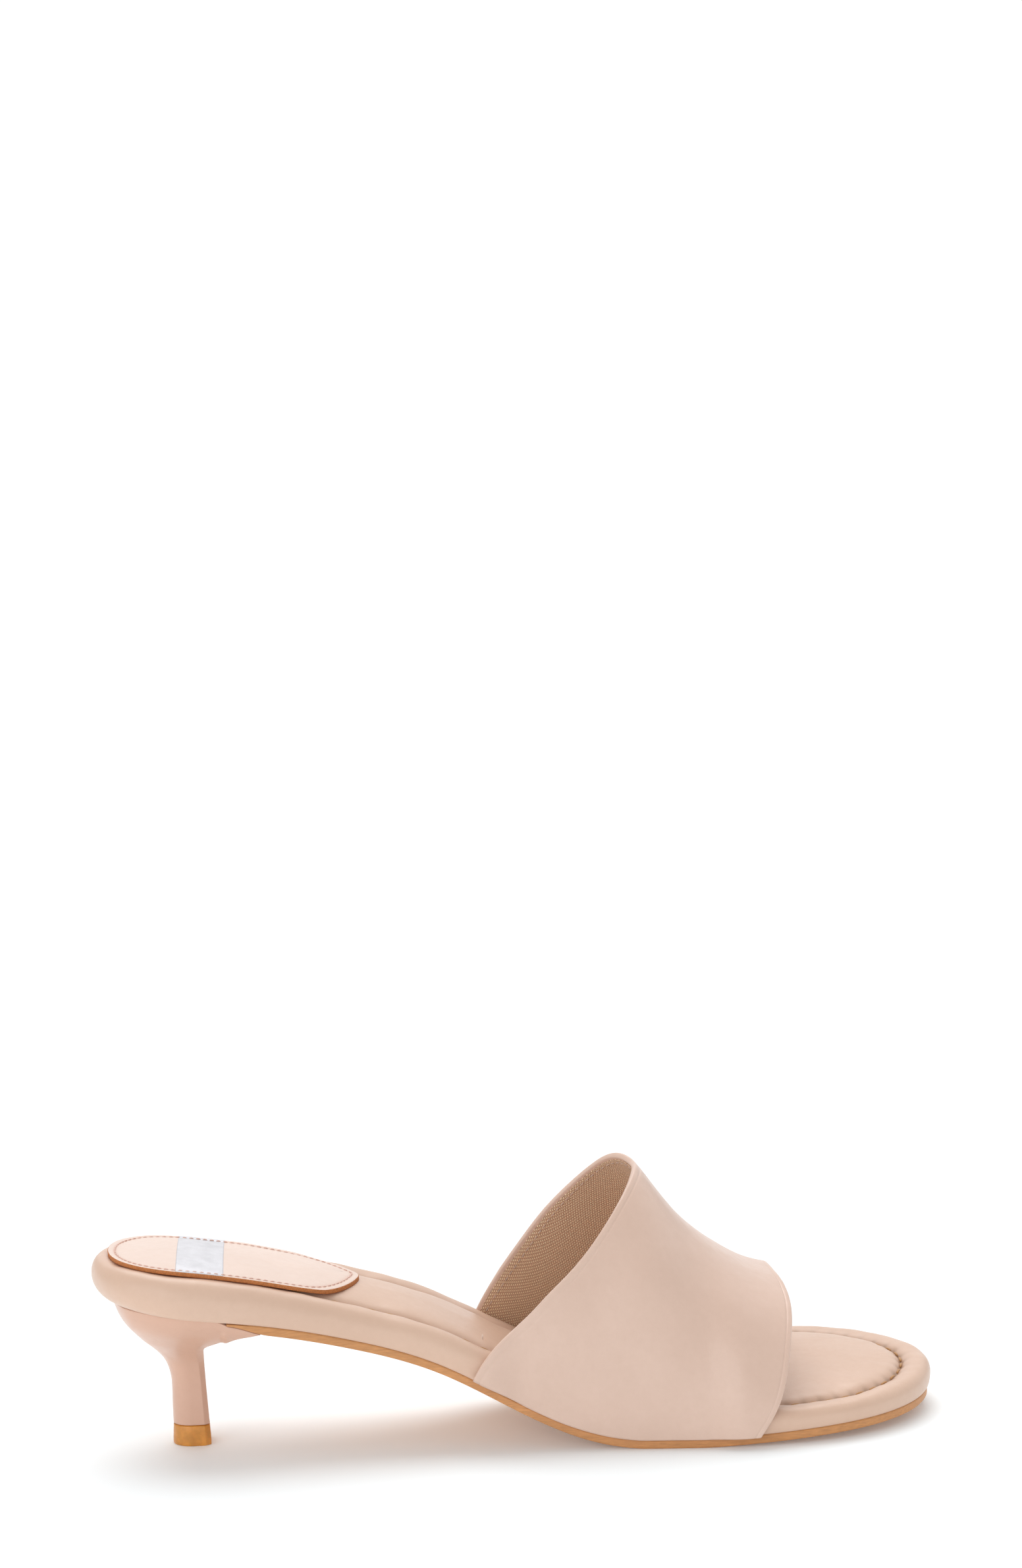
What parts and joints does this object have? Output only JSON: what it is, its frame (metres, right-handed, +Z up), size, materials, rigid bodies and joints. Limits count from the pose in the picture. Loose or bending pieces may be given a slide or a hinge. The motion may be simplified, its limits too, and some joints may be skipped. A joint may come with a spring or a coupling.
{
  "type": "slide sandal",
  "caption": "Woman's kitten-heel slide sandal: one wide leather band over a padded footbed, open at toe and heel.",
  "frame": {"origin": "on the floor, under the centre of the shoe's box", "axes": "+X from heel to toe, +Y to the wearer's left (the medial side), +Z up"},
  "size_m": [0.2492, 0.0896, 0.0788],
  "materials": {
    "outsole": "satin",
    "footbed": "satin",
    "upper": "satin",
    "heel_pad": "satin",
    "heel": "satin",
    "top_lift": "satin"
  },
  "bodies": {
    "root": {"outsole": "outsole", "footbed": "footbed", "upper": "upper", "heel_pad": "heel_pad", "heel": "heel", "top_lift": "top_lift"}
  },
  "joints": []
}
